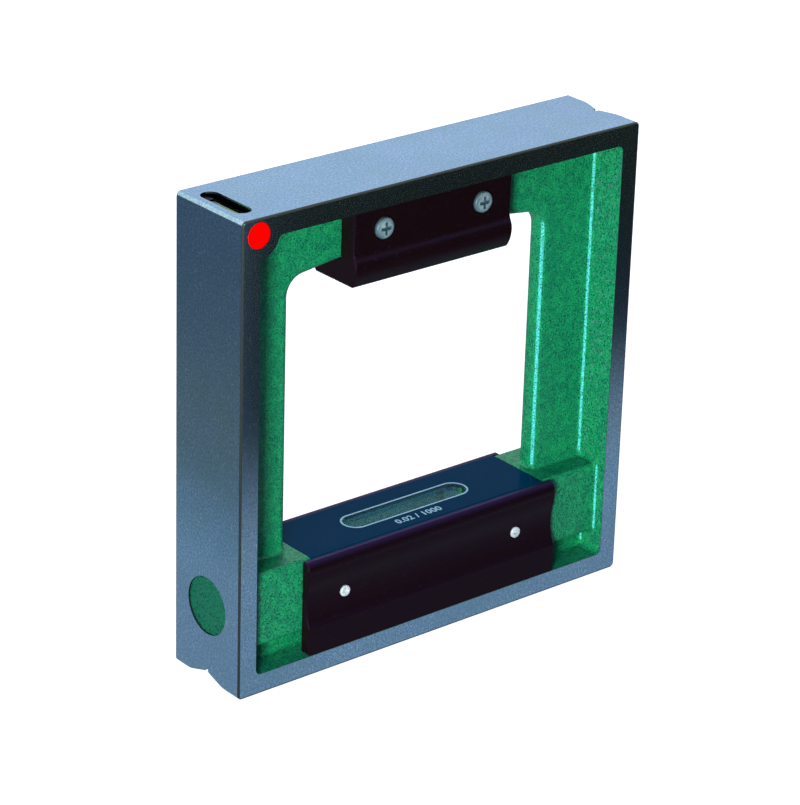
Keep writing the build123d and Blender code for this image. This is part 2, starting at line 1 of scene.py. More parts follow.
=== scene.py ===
import math
import bmesh
import bpy
from mathutils import Matrix, Vector


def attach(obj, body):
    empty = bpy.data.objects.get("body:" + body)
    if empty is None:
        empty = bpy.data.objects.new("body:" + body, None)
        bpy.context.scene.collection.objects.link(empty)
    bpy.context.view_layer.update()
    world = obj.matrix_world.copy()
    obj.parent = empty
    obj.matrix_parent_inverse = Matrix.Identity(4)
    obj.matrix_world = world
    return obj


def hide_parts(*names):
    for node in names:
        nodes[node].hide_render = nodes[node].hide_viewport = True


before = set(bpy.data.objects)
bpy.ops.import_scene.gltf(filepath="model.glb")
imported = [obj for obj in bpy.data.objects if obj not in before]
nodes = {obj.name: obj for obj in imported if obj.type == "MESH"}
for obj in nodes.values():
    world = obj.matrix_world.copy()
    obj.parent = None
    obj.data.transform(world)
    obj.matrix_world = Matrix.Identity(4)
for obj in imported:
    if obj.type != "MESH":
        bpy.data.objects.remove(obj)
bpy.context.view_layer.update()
scene = bpy.context.scene
mm = 0.001
mainBore = 33.25              # height of the main vial's axis, mm
crossBore = (-92.2, 193.2)    # X and Z of the cross vial's axis


# Camera, at the photograph's viewing angle

camera = {
    "place": (-0.7998, -0.9451, 0.6386),
    "yaw": 0.69973,        # from +Y towards +X, radians
    "pitch": 0.41408,      # down
    "roll": 0.03030,
    "lens": 150.34,
    "sensor": 36,
    "clip": (0.05, 50),
}


def cameraTurn(yaw, pitch, roll):
    forward = Vector((
        math.sin(yaw) * math.cos(pitch),
        math.cos(yaw) * math.cos(pitch),
        -math.sin(pitch),
    ))
    right = forward.cross(Vector((0, 0, 1))).normalized()
    up = right.cross(forward)
    right, up = (
        right * math.cos(roll) + up * math.sin(roll),
        up * math.cos(roll) - right * math.sin(roll),
    )
    return Matrix((right, up, -forward)).transposed().to_4x4()


lens = bpy.data.cameras.new("camera")
lens.lens = camera["lens"]
lens.sensor_width = camera["sensor"]
lens.clip_start, lens.clip_end = camera["clip"]
viewer = bpy.data.objects.new("camera", lens)
scene.collection.objects.link(viewer)
viewer.matrix_world = (
    Matrix.Translation(camera["place"]) @ cameraTurn(camera["yaw"], camera["pitch"], camera["roll"])
)
scene.camera = viewer
scene.view_settings.view_transform = "Standard"
print("camera placed")


# Node helpers: every material below is written with these

def colour(red, green, blue):
    # screen values from 0 to 255 to linear light
    def linear(value):
        value /= 255
        return value / 12.92 if value <= 0.04045 else ((value + 0.055) / 1.055) ** 2.4
    return (linear(red), linear(green), linear(blue), 1)


def feed(tree, socket, value):
    if isinstance(value, bpy.types.NodeSocket):
        tree.links.new(value, socket)
    else:
        socket.default_value = value


def put(tree, kind, inputs=None, **settings):
    node = tree.nodes.new("ShaderNode" + kind)
    for name, value in settings.items():
        setattr(node, name, value)
    for name, value in (inputs or {}).items():
        feed(tree, node.inputs[name], value)
    return node


def calc(tree, operation, *values):
    node = put(tree, "Math", operation=operation)
    for socket, value in zip(node.inputs, values):
        feed(tree, socket, value)
    return node.outputs[0]


def product(tree, first, *others):
    for other in others:
        first = calc(tree, "MULTIPLY", first, other)
    return first


def step(tree, value, low, high, start=0.0, end=1.0):
    return put(tree, "MapRange", {
        "Value": value, "From Min": low, "From Max": high, "To Min": start, "To Max": end,
    }, interpolation_type="SMOOTHSTEP").outputs[0]


def ranged(tree, mask, start, end):
    # from start where the mask is 0 to end where it is 1
    return step(tree, mask, 0.0, 1.0, start, end)


def below(tree, value, limit, soft=0.1):
    return step(tree, value, limit - soft, limit + soft, 1.0, 0.0)


def above(tree, value, limit, soft=0.1):
    return step(tree, value, limit - soft, limit + soft)


def blend(tree, factor, first, second):
    node = put(tree, "Mix", data_type="RGBA")
    for index, value in ((0, factor), (6, first), (7, second)):
        feed(tree, node.inputs[index], value)
    return node.outputs[2]


def between(tree, factor, first, second):
    node = put(tree, "Mix", data_type="FLOAT")
    for index, value in ((0, factor), (2, first), (3, second)):
        feed(tree, node.inputs[index], value)
    return node.outputs[0]


def noise(tree, place, scale, detail=2.0, roughness=0.5, distortion=0.0):
    return put(tree, "TexNoise", {
        "Vector": place, "Scale": scale, "Detail": detail, "Roughness": roughness, "Distortion": distortion,
    }).outputs[0]


def stretched(tree, place, scale, turn=(0, 0, 0)):
    return put(tree, "Mapping", {"Vector": place, "Scale": scale, "Rotation": turn}).outputs[0]


def faded(tree, mask, share, first, second):
    # at most a share of the second colour, where the mask is 1
    return blend(tree, product(tree, mask, share), first, second)


def spread(tree, place):
    node = put(tree, "SeparateXYZ", {"Vector": place})
    return node.outputs[0], node.outputs[1], node.outputs[2]


def distance(tree, first, second):
    squares = [product(tree, value, value) for value in (first, second)]
    return calc(tree, "SQRT", calc(tree, "ADD", *squares))


def millimetres(tree):
    place = put(tree, "TexCoord").outputs["Object"]
    return put(tree, "VectorMath", {0: place, "Scale": 1000.0}, operation="SCALE").outputs[0]


def material(name, **values):
    # a Principled material with plain values set on its sockets
    made = bpy.data.materials.new(name)
    made.use_nodes = True
    shader = made.node_tree.nodes["Principled BSDF"]
    for key, value in values.items():
        shader.inputs[key.replace("_", " ")].default_value = value
    return made, made.node_tree, shader


def bump(tree, height, strength, depth, normal=None):
    inputs = {"Height": height, "Strength": strength, "Distance": depth * mm}
    if normal is not None:
        inputs["Normal"] = normal
    return put(tree, "Bump", inputs).outputs[0]


def dress(made, *names):
    for name in names:
        for slot in nodes[name].material_slots:
            slot.material = made


def nodeGroup(name, takes, gives):
    tree = bpy.data.node_groups.new(name, "ShaderNodeTree")
    for label, kind in takes:
        tree.interface.new_socket(label, in_out="INPUT", socket_type="NodeSocket" + kind)
    for label, kind in gives:
        tree.interface.new_socket(label, in_out="OUTPUT", socket_type="NodeSocket" + kind)
    return tree, tree.nodes.new("NodeGroupInput").outputs, tree.nodes.new("NodeGroupOutput").inputs


def useGroup(tree, group, **inputs):
    node = put(tree, "Group", node_tree=group)
    for name, value in inputs.items():
        feed(tree, node.inputs[name], value)
    return node.outputs


# Effects that more than one material uses

effects = {
    "plain": {"detail": 3.0, "roughness": 0.6},
    "grain": {"detail": 3.0, "roughness": 0.7},
    "grainPerCell": 1.6,
    "patchPerCell": 0.28,
    "dropHeight": 0.7,
    "grainHeight": 0.8,
    "fleck": (0.37, 0.52),
    "patch": (0.38, 0.62),
    "flakeStretch": (1.3, 1.3, 0.5),
    "flakeLeans": (0.5, -0.35),
    "flake": (0.6, 0.74),
    "mottle": (0.32, 0.68),
    "cloud": (0.36, 0.64),
    "blotch": (0.35, 0.68),
    "speck": (0.62, 0.72),
    "speckPerBlotch": 22.0,
}


def hammertoneGroup():
    # drops and grain of hammertone paint, with larger patches
    tree, given, result = nodeGroup(
        "hammertone", [("Place", "Vector"), ("Cell", "Float")],
        [("Height", "Float"), ("Fleck", "Float"), ("Patch", "Float")],
    )
    place = given["Place"]
    scale = calc(tree, "DIVIDE", 1.0, given["Cell"])
    drops = put(tree, "TexVoronoi", {
        "Vector": place, "Scale": scale, "Smoothness": 0.7, "Randomness": 1.0,
    }, feature="SMOOTH_F1").outputs["Distance"]
    grain = noise(tree, place, product(tree, scale, effects["grainPerCell"]), **effects["grain"])
    patch = noise(tree, place, product(tree, scale, effects["patchPerCell"]), **effects["plain"])
    drops = product(tree, drops, effects["dropHeight"])
    feed(tree, result["Height"], calc(tree, "ADD", drops, product(tree, grain, effects["grainHeight"])))
    feed(tree, result["Fleck"], step(tree, grain, *effects["fleck"]))
    feed(tree, result["Patch"], step(tree, patch, *effects["patch"]))
    return tree


def scrapedGroup():
    # flaked and mottled steel, with soft clouds
    tree, given, result = nodeGroup(
        "scrapedSteel", [("Place", "Vector")],
        [("Height", "Float"), ("Flake", "Float"), ("Mottle", "Float"), ("Cloud", "Float")],
    )
    place = given["Place"]
    flakes = []
    for lean in effects["flakeLeans"]:
        along = stretched(tree, place, effects["flakeStretch"], (lean, lean, 0.0))
        flakes.append(noise(tree, along, 1.0, **effects["plain"]))
    flake = calc(tree, "MAXIMUM", *flakes)
    fine = noise(tree, place, 1.1, detail=4.0, roughness=0.75)
    cloud = noise(tree, place, 0.06, detail=4.0, roughness=0.65)
    feed(tree, result["Flake"], step(tree, flake, *effects["flake"]))
    feed(tree, result["Mottle"], step(tree, fine, *effects["mottle"]))
    feed(tree, result["Cloud"], step(tree, cloud, *effects["cloud"]))
    feed(tree, result["Height"], calc(tree, "ADD", product(tree, flake, 0.5), fine))
    return tree


def handlingGroup():
    # soft blotches from hands and oil, and fine dust specks
    tree, given, result = nodeGroup(
        "handling", [("Place", "Vector"), ("Size", "Float")], [("Blotch", "Float"), ("Speck", "Float")]
    )
    scale = calc(tree, "DIVIDE", 1.0, given["Size"])
    blotches = noise(tree, given["Place"], scale, detail=4.0, roughness=0.6, distortion=0.4)
    feed(tree, result["Blotch"], step(tree, blotches, *effects["blotch"]))
    specks = noise(tree, given["Place"], product(tree, scale, effects["speckPerBlotch"]), roughness=0.6)
    feed(tree, result["Speck"], step(tree, specks, *effects["speck"]))
    return tree


hammertone = hammertoneGroup()
scraped = scrapedGroup()
handling = handlingGroup()


# Cast frame: hammertone paint inside the rims, ground steel-grey faces outside

casting = {
    "paint": colour(28, 158, 92),
    "paintPale": colour(50, 186, 120),
    "paintDeep": colour(1, 70, 54),
    "paintShade": colour(3, 76, 68),
    "ground": colour(192, 231, 254),
    "groundGreen": colour(147, 197, 191),
    "groundDark": colour(134, 168, 192),
    "flake": colour(250, 254, 255),
    "paintedGlint": colour(92, 222, 214),
    "edge": colour(74, 80, 76),
    # bore cap greens: the frame's paint darkened, as painted shade on the brightly lit left face
    "cap": colour(14, 104, 70),
    "capDeep": colour(2, 50, 46),
    "shadow": colour(5, 6, 9),
    "innerHalf": 91.5,       # half the square between the rims, mm
    "innerGap": 0.12,        # paint runs this far on to the rims
    "ragged": 0.5,           # how far its line wanders
    "middle": 100.0,         # height of the square's middle
    "paintedBelow": 20.8,    # paint stops at the ground faces, mm from the middle plane
    "boreRadius": 12.5,
    "slot": {"half": 32.3, "side": 6.3, "foot": 40.0, "top": 46.6},
    "cross": {"bore": 5.5, "slotSide": 4.3, "slotHalf": 13.8, "rim": 199.3, "foot": -12.0},
    # bare edges worn dull: the square's outer edges, the recess's edges and the bore's mouth
    "outerEdge": {"far": 99.25, "side": 20.25},
    "innerEdge": {"reach": 0.6, "from": 20.5, "to": 20.93},
    "mouthEdge": {"reach": 0.7, "from": 96.0, "to": 99.94},
    "edgeSoft": 0.04,
    # painted highlight: pale turquoise glints on the roundings that face this way, towards the key lamp
    "paintedGlintWay": (-0.707, -0.707, 0),
    "paintedGlintFrom": (0.95, 0.998),
    "paintedGlintBreaks": (0.36, 0.58),
    "cell": 1.0,
    "handSize": 38.0,
    "paintBump": (0.8, 0.26),
    "steelBump": (0.015, 0.03),
    "steelRoughness": (0.22, 0.17),
    "wornRoughness": 0.35,
    "paintRoughness": (0.40, 0.30),
    "capRoughness": (0.45, 0.35),
    "capBump": (0.6, 0.22),
}


def paintedMask(tree, place):
    # paint is 1 on the cast faces between the rims, 0 on the ground faces and in the bores
    x, y, z = spread(tree, place)
    up = calc(tree, "SUBTRACT", z, casting["middle"])
    ax, ay, az = (calc(tree, "ABSOLUTE", value) for value in (x, y, up))
    centred = calc(tree, "SUBTRACT", noise(tree, place, 0.9, detail=3.0), 0.5)
    ragged = product(tree, centred, casting["ragged"])
    limit = calc(tree, "ADD", ragged, casting["innerHalf"] + casting["innerGap"])
    slot, cross = casting["slot"], casting["cross"]
    slotted = product(
        tree, below(tree, ay, slot["side"]), below(tree, ax, slot["half"]),
        above(tree, z, slot["foot"]), below(tree, z, slot["top"]),
    )
    fromBore = distance(tree, y, calc(tree, "SUBTRACT", z, mainBore))
    crossX, crossZ = (calc(tree, "SUBTRACT", *pair) for pair in zip((x, z), crossBore))
    painted = product(
        tree,
        below(tree, calc(tree, "SUBTRACT", ax, limit), 0.0),
        below(tree, calc(tree, "SUBTRACT", az, limit), 0.0),
        below(tree, ay, casting["paintedBelow"]),
        above(tree, fromBore, casting["boreRadius"]),
        above(tree, distance(tree, crossX, crossZ), cross["bore"]),
        calc(tree, "SUBTRACT", 1.0, slotted),
    )
    sight = product(
        tree,
        below(tree, calc(tree, "ABSOLUTE", crossX), cross["slotSide"]),
        below(tree, ay, cross["slotHalf"]),
        below(tree, z, cross["rim"], soft=0.25),
        above(tree, crossZ, cross["foot"]),
    )
    far = calc(tree, "MAXIMUM", ax, az)
    edge, soft = casting["outerEdge"], casting["edgeSoft"]
    outer = product(tree, above(tree, far, edge["far"]), above(tree, ay, edge["side"]))
    edge = casting["innerEdge"]
    inner = product(
        tree,
        below(tree, far, casting["innerHalf"] + edge["reach"]),
        above(tree, ay, edge["from"]),
        below(tree, ay, edge["to"], soft),
    )
    edge = casting["mouthEdge"]
    mouth = product(
        tree,
        below(tree, fromBore, casting["boreRadius"] + edge["reach"]),
        above(tree, ax, edge["from"]),
        below(tree, ax, edge["to"], soft),
    )
    worn = calc(tree, "MAXIMUM", calc(tree, "MAXIMUM", outer, inner), mouth)
    return painted, sight, worn


def castingMaterial():
    made, tree, shader = material("castFrame", Specular_IOR_Level=0.3)
    place = millimetres(tree)
    painted, sight, worn = paintedMask(tree, place)
    bare = calc(tree, "SUBTRACT", 1.0, painted)
    drops = useGroup(tree, hammertone, Place=place, Cell=casting["cell"])
    marks = useGroup(tree, scraped, Place=place)
    hands = useGroup(tree, handling, Place=place, Size=casting["handSize"])

    green = blend(tree, drops["Fleck"], casting["paintDeep"], casting["paint"])
    green = faded(tree, drops["Patch"], 0.35, green, casting["paintShade"])
    green = faded(tree, step(tree, drops["Height"], 0.8, 1.15), 0.5, green, casting["paintPale"])
    green = faded(tree, hands["Blotch"], 0.15, green, casting["paintShade"])
    # painted highlight: roundings facing the key lamp turn pale turquoise, broken up by noise
    facing = put(tree, "TexCoord").outputs["Normal"]
    towards = put(tree, "VectorMath", {0: facing, 1: casting["paintedGlintWay"]}, operation="DOT_PRODUCT")
    broken = step(tree, noise(tree, place, 1.5, **effects["grain"]), *casting["paintedGlintBreaks"])
    paintedGlint = product(tree, step(tree, towards.outputs["Value"], *casting["paintedGlintFrom"]), broken)
    green = blend(tree, paintedGlint, green, casting["paintedGlint"])

    steel = blend(tree, marks["Mottle"], casting["groundDark"], casting["ground"])
    steel = faded(tree, marks["Cloud"], 0.3, steel, casting["groundGreen"])
    steel = faded(tree, marks["Flake"], 0.75, steel, casting["flake"])
    steel = faded(tree, hands["Blotch"], 0.2, steel, casting["groundDark"])
    steel = blend(tree, worn, steel, casting["edge"])
    steel = blend(tree, sight, steel, casting["shadow"])

    feed(tree, shader.inputs["Base Color"], blend(tree, painted, steel, green))
    feed(tree, shader.inputs["Metallic"], bare)
    smooth = ranged(tree, marks["Mottle"], *casting["steelRoughness"])
    smooth = calc(tree, "ADD", smooth, product(tree, worn, casting["wornRoughness"]))
    gloss = ranged(tree, drops["Fleck"], *casting["paintRoughness"])
    feed(tree, shader.inputs["Roughness"], between(tree, painted, smooth, gloss))
    normal = bump(tree, product(tree, drops["Height"], painted), *casting["paintBump"])
    normal = bump(tree, product(tree, marks["Height"], bare), *casting["steelBump"], normal)
    feed(tree, shader.inputs["Normal"], normal)
    return made


dress(castingMaterial(), "frame")


# Bore cap: the frame's hammertone on a disc, its green painted darker than the frame's as painted shade

def capMaterial():
    made, tree, shader = material("capPaint", Specular_IOR_Level=0.2)
    place = millimetres(tree)
    drops = useGroup(tree, hammertone, Place=place, Cell=casting["cell"])
    feed(tree, shader.inputs["Base Color"], blend(tree, drops["Fleck"], casting["capDeep"], casting["cap"]))
    feed(tree, shader.inputs["Roughness"], ranged(tree, drops["Fleck"], *casting["capRoughness"]))
    feed(tree, shader.inputs["Normal"], bump(tree, drops["Height"], *casting["capBump"]))
    return made


dress(capMaterial(), "bore_cap")
print("frame painted")


# Grip halves and covers: dark brown moulding

moulding = {
    "body": colour(21, 9, 11),
    "flow": colour(12, 4, 7),
    "dust": colour(74, 58, 84),
    # painted sheen: purple blended in where the moulding faces up
    "paintedSheen": colour(50, 36, 80),    # on what faces up
    "handSize": 24.0,
    "flowStretch": (0.05, 0.6, 0.6),
    "roughness": (0.3, 0.4),
    "bump": (0.12, 0.05),
}


def mouldingMaterial():
    made, tree, shader = material("moulding", Specular_IOR_Level=0.13, Specular_Tint=(0.4, 0.32, 1, 1))
    place = millimetres(tree)
    hands = useGroup(tree, handling, Place=place, Size=moulding["handSize"])
    flow = noise(tree, stretched(tree, place, moulding["flowStretch"]), 1.0, detail=3.0, roughness=0.55)
    brown = faded(tree, flow, 0.35, moulding["body"], moulding["flow"])
    brown = faded(tree, hands["Speck"], 0.12, brown, moulding["dust"])
    # painted sheen: faces that point up turn purple
    upward = spread(tree, put(tree, "TexCoord").outputs["Normal"])[2]
    brown = blend(tree, step(tree, upward, 0.3, 1.0, 0.0, 0.5), brown, moulding["paintedSheen"])
    feed(tree, shader.inputs["Base Color"], brown)
    feed(tree, shader.inputs["Roughness"], ranged(tree, hands["Blotch"], *moulding["roughness"]))
    pores = noise(tree, place, 2.2, **effects["plain"])
    feed(tree, shader.inputs["Normal"], bump(tree, calc(tree, "ADD", pores, flow), *moulding["bump"]))
    return made


dress(mouldingMaterial(), "front_grip", "rear_grip", "front_cover", "rear_cover")


# Plated screws and nuts, and the fittings inside

plating = {
    "zinc": colour(250, 255, 250),
    "dull": colour(186, 214, 206),
    "tarnished": colour(200, 232, 234),
    "dark": colour(126, 166, 172),
    # painted shade for the grip screws' rims and cross recesses
    "recessShade": colour(58, 92, 102),
    "brass": colour(206, 170, 96),
    "brassDull": colour(142, 108, 52),
    "steel": colour(186, 190, 194),
    "steelDull": colour(110, 116, 122),
    "gripCrown": -13.75,    # Y of the grip screws' outer face, mm
    "crownDepth": 0.55,
    "frontOnly": -5.0,
    "roughnessRange": 0.14,
}


def metalMaterial(name, bright, dull, roughness, handSize, metallic=1.0, crown=None):
    made, tree, shader = material(name, Metallic=metallic)
    place = millimetres(tree)
    hands = useGroup(tree, handling, Place=place, Size=handSize)
    grain = noise(tree, place, 3.5, **effects["plain"])
    tone = faded(tree, hands["Blotch"], 0.7, bright, dull)
    if crown is not None:
        # painted shade: a head's rim and cross recess, behind its crown, are darkened
        y = spread(tree, place)[1]
        behind = step(tree, y, crown, crown + plating["crownDepth"])
        sunk = product(tree, behind, below(tree, y, plating["frontOnly"]))
        tone = faded(tree, sunk, 0.8, tone, plating["recessShade"])
    feed(tree, shader.inputs["Base Color"], tone)
    rough = step(tree, grain, 0.3, 0.7, roughness, roughness + plating["roughnessRange"])
    feed(tree, shader.inputs["Roughness"], rough)
    feed(tree, shader.inputs["Normal"], bump(tree, grain, strength=0.2, depth=0.03))
    return made


coverSteel = metalMaterial(
    "coverScrews", plating["zinc"], plating["dull"], roughness=0.36, handSize=2.5, metallic=0.4
)
gripSteel = metalMaterial(
    "gripScrews", plating["tarnished"], plating["dark"], roughness=0.3, handSize=2.5, metallic=0.6,
    crown=plating["gripCrown"],
)
brass = metalMaterial("brassFitting", plating["brass"], plating["brassDull"], roughness=0.25, handSize=6.0)
steel = metalMaterial("steelFitting", plating["steel"], plating["steelDull"], roughness=0.25, handSize=6.0)
dress(coverSteel, "front_cover_screws", "rear_cover_screws")
dress(gripSteel, "grip_screws", "grip_nuts")
dress(brass, "adjuster_lock_ring", "zero_adjuster", "pivot_bush")
dress(steel, "holder_adjuster_plug", "holder_pivot_plug")


# Holder tube and cross-vial sleeve: enamel inside them glows, a painted light that lights the vials from
# behind

def enamelBore(tree, shader, across, upward, outside, enamel, size):
    # enamel within the bore's radius of the axis, made to glow as painted light; metal outside it
    inner = below(tree, distance(tree, across, upward), size["enamelRadius"])
    feed(tree, shader.inputs["Base Color"], blend(tree, inner, outside, enamel))
    feed(tree, shader.inputs["Emission Color"], enamel)
    feed(tree, shader.inputs["Emission Strength"], product(tree, inner, size["glow"]))
    feed(tree, shader.inputs["Metallic"], calc(tree, "SUBTRACT", 1.0, inner))
    feed(tree, shader.inputs["Roughness"], between(tree, inner, *size["roughness"]))


holder = {
    # painted reflection: the enamel is blue-grey in front, where the vial mirrors the sky, and green behind
    "green": colour(36, 164, 82),
    "blue": colour(46, 100, 142),
    "worn": colour(80, 140, 130),
    "tube": colour(170, 174, 178),
    "tones": (-1.5, 1.5),    # blue in front to green behind, Y in mm
    "enamelRadius": 8.75,
    "glow": 1.1,
    "roughness": (0.3, 0.45),
    "handSize": 9.0,
}
sleeve = {
    "outside": colour(36, 34, 38),
    # painted highlight: pale ivory enamel, made to glow, gives the cross vial's slot its glint
    "ivory": colour(206, 214, 176),
    "enamelRadius": 4.28,
    "glow": 0.28,
    "roughness": (0.4, 0.5),
}


def holderMaterial():
    made, tree, shader = material("vialHolder")
    place = millimetres(tree)
    _, y, z = spread(tree, place)
    hands = useGroup(tree, handling, Place=place, Size=holder["handSize"])
    # painted reflection: blue-grey in front, green behind
    enamel = blend(tree, step(tree, y, *holder["tones"]), holder["blue"], holder["green"])
    enamel = faded(tree, hands["Blotch"], 0.2, enamel, holder["worn"])
    upward = calc(tree, "SUBTRACT", z, mainBore)
    enamelBore(tree, shader, y, upward, holder["tube"], enamel, holder)
    grain = noise(tree, place, 1.2, detail=3.0)
    feed(tree, shader.inputs["Normal"], bump(tree, grain, strength=0.15, depth=0.05))
    return made


def sleeveMaterial():
    made, tree, shader = material("blackenedSleeve")
    x, _, z = spread(tree, millimetres(tree))
    sideways, upward = (calc(tree, "SUBTRACT", *pair) for pair in zip((x, z), crossBore))
    enamelBore(tree, shader, sideways, upward, sleeve["outside"], sleeve["ivory"], sleeve)
    return made


dress(holderMaterial(), "vial_holder")
dress(sleeveMaterial(), "cross_vial_sleeve")


# Plate: dark navy enamel, very glossy

plate = {
    "enamel": colour(0, 46, 72),
    "fleck": colour(14, 80, 112),
    "line": colour(150, 198, 204),
    "lineWidth": 0.8,
    "windowLength": 62.5,
    "windowWidth": 11.0,
    "top": 49.0,
    "letters": "0.02 / 1000",
    "letterHeight": 3.4,
    "letterBold": 0.1,
    "letterPlace": (-1.5, -12.2),
    "letterSpacing": 1.04,
    "capShare": 0.69,       # capital height as a share of the font's size
    "printRise": 0.03,
    "printSink": 0.05,
    "handSize": 20.0,
    "roughness": (0.1, 0.2),
}


def plateMaterial():
    made, tree, shader = material("plate", Specular_IOR_Level=0.012, Specular_Tint=(0.3, 0.8, 1, 1))
    place = millimetres(tree)
    fine = noise(tree, place, 2.4, **effects["grain"])
    hands = useGroup(tree, handling, Place=place, Size=plate["handSize"])
    navy = faded(tree, step(tree, fine, 0.45, 0.75), 0.3, plate["enamel"], plate["fleck"])
    feed(tree, shader.inputs["Base Color"], navy)
    feed(tree, shader.inputs["Roughness"], ranged(tree, hands["Blotch"], *plate["roughness"]))
    feed(tree, shader.inputs["Normal"], bump(tree, fine, strength=0.08, depth=0.03))
    return made


def printMaterial():
    made, tree, shader = material("platePrint", Specular_IOR_Level=0.2)
    place = millimetres(tree)
    worn = step(tree, noise(tree, place, 1.8, **effects["plain"]), 0.35, 0.6, 0.85, 1.0)
    feed(tree, shader.inputs["Base Color"], blend(tree, worn, plate["enamel"], plate["line"]))
    feed(tree, shader.inputs["Roughness"], step(tree, worn, 0.7, 1.0, 0.5, 0.35))
    return made


def stadium(length, width, z, steps=40):
    # points round a level, round-ended outline
    radius, reach = width / 2, (length - width) / 2
    points = []
    for side in (1, -1):
        for index in range(steps + 1):
            angle = math.pi / 2 - math.pi * index / steps
            along, out = reach + radius * math.cos(angle), radius * math.sin(angle)
            points.append(Vector((side * along, side * out, z)))
    return points


def meshFrom(draft):
    # the final mesh of a draft object, which is then removed
    mesh = bpy.data.meshes.new_from_object(draft.evaluated_get(bpy.context.evaluated_depsgraph_get()))
    bpy.data.objects.remove(draft)
    return mesh


def closeRings(bm, rings, following):
    # faces between each ring of points and the one that follows it
    for ring, after in zip(rings, following):
        for index in range(len(ring)):
            ahead = (index + 1) % len(ring)
            bm.faces.new((ring[index], ring[ahead], after[ahead], after[index]))


def meshPiece(name, mesh, body, made):
    piece = bpy.data.objects.new(name, mesh)
    scene.collection.objects.link(piece)
    mesh.materials.clear()
    mesh.materials.append(made)
    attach(piece, body)
    return piece


def windowLine(made):
    # printed line round the window: a thin flat ring on the plate
    bm = bmesh.new()
    rings = []
    width, rise, sink = plate["lineWidth"], plate["printRise"], -plate["printSink"]
    for grow, z in ((0.0, sink), (0.0, rise), (width, rise), (width, sink)):
        length, across = plate["windowLength"] + 2 * grow, plate["windowWidth"] + 2 * grow
        rings.append([bm.verts.new(point * mm) for point in stadium(length, across, plate["top"] + z)])
    closeRings(bm, rings, rings[1:] + rings[:1])
    bmesh.ops.remove_doubles(bm, verts=bm.verts, dist=1e-7)
    bmesh.ops.recalc_face_normals(bm, faces=bm.faces)
    mesh = bpy.data.meshes.new("window_line")
    bm.to_mesh(mesh)
    bm.free()
    meshPiece("window_line", mesh, "frame_body", made)


def plateNumbers(made):
    words = bpy.data.curves.new("plate_numbers", "FONT")
    words.body = plate["letters"]
    words.align_x = "CENTER"
    words.size = plate["letterHeight"] / plate["capShare"]
    words.extrude = plate["printRise"]
    words.offset = plate["letterBold"]
    words.space_character = plate["letterSpacing"]
    lettering = bpy.data.objects.new("plateNumbersDraft", words)
    scene.collection.objects.link(lettering)
    mesh = meshFrom(lettering)
    x, y = plate["letterPlace"]
    mesh.transform(Matrix.Scale(mm, 4) @ Matrix.Translation((x, y, plate["top"])))
    mesh.name = "plate_numbers"
    meshPiece("plate_numbers", mesh, "frame_body", made)


dress(plateMaterial(), "window_plate")
platePrint = printMaterial()
windowLine(platePrint)
plateNumbers(platePrint)
print("plate printed")


# Clear pieces. Light that falls through them isn't held back by the glass.

def clearMaterial(name, tint, refraction, bores=(), under=None):
    made, tree, shader = material(
        name, Base_Color=tint, Transmission_Weight=1.0, Roughness=0.0, IOR=refraction
    )
    path = put(tree, "LightPath").outputs
    through = calc(tree, "MAXIMUM", path["Is Shadow Ray"], path["Is Diffuse Ray"])
    x, y, z = spread(tree, millimetres(tree))
    for across, centre, height, radius in bores:
        # a filled bore's wall bends no light: the spirit in it has its own surface
        sideways = calc(tree, "SUBTRACT", x if across == "x" else y, centre)
        inside = below(tree, distance(tree, sideways, calc(tree, "SUBTRACT", z, height)), radius, soft=0.05)
        through = calc(tree, "MAXIMUM", through, inside)
    if under is not None:
        # nor does the underside, close to the holder's enamel
        through = calc(tree, "MAXIMUM", through, below(tree, z, under))
    straight = put(tree, "BsdfTransparent", {"Color": tint})
    mix = put(tree, "MixShader", {0: through, 1: shader.outputs[0], 2: straight.outputs[0]})
    tree.links.new(mix.outputs[0], tree.nodes["Material Output"].inputs["Surface"])
    return made, tree, shader


clear = {
    "paneTint": colour(238, 248, 244),
    "paneIndex": 1.1,
    "smearSize": 7.0,
    "smearRoughness": 0.03,
    "glassTint": colour(240, 250, 246),
    "glassIndex": 1.25,
    # each filled bore: axis across it, centre, height, radius
    "bores": (("y", 0.0, mainBore, 6.5), ("x", *crossBore, 3.3)),
    "underside": mainBore - 1.5,
    "spiritTint": colour(170, 240, 205),
    "spiritIndex": 0.95,    # against the glass around it
    "gasTint": colour(252, 255, 253),
    "gasIndex": 0.9,        # against the spirit around it
}
vial = {
    "cavityRadius": 5.97,
    "cavityHalf": 41.97,
    "endRound": 2.4,
    "bubbleHalf": 12.0,
    "bubbleLevel": 4.0,
    "bubbleRadius": 5.85,
}
crossVial = {
    "cavityRadius": 2.93,
    "cavityHalf": 10.28,
    "endRound": 1.2,
    "bubbleHalf": 3.0,
    "bubbleLevel": 1.75,
    "bubbleRadius": 2.8,
}

pane, paneTree, paneShader = clearMaterial("pane", clear["paneTint"], clear["paneIndex"])
smears = useGroup(paneTree, handling, Place=millimetres(paneTree), Size=clear["smearSize"])
smeared = ranged(paneTree, smears["Blotch"], 0.0, clear["smearRoughness"])
feed(paneTree, paneShader.inputs["Roughness"], smeared)
dress(pane, "window_glass")
vialGlass = clearMaterial(
    "vialGlass", clear["glassTint"], clear["glassIndex"], clear["bores"], clear["underside"]
)[0]
dress(vialGlass, "main_vial_glass", "cross_vial_glass")
spirit = clearMaterial("vialSpirit", clear["spiritTint"], clear["spiritIndex"])[0]
gas = clearMaterial("bubbleGas", clear["gasTint"], clear["gasIndex"])[0]


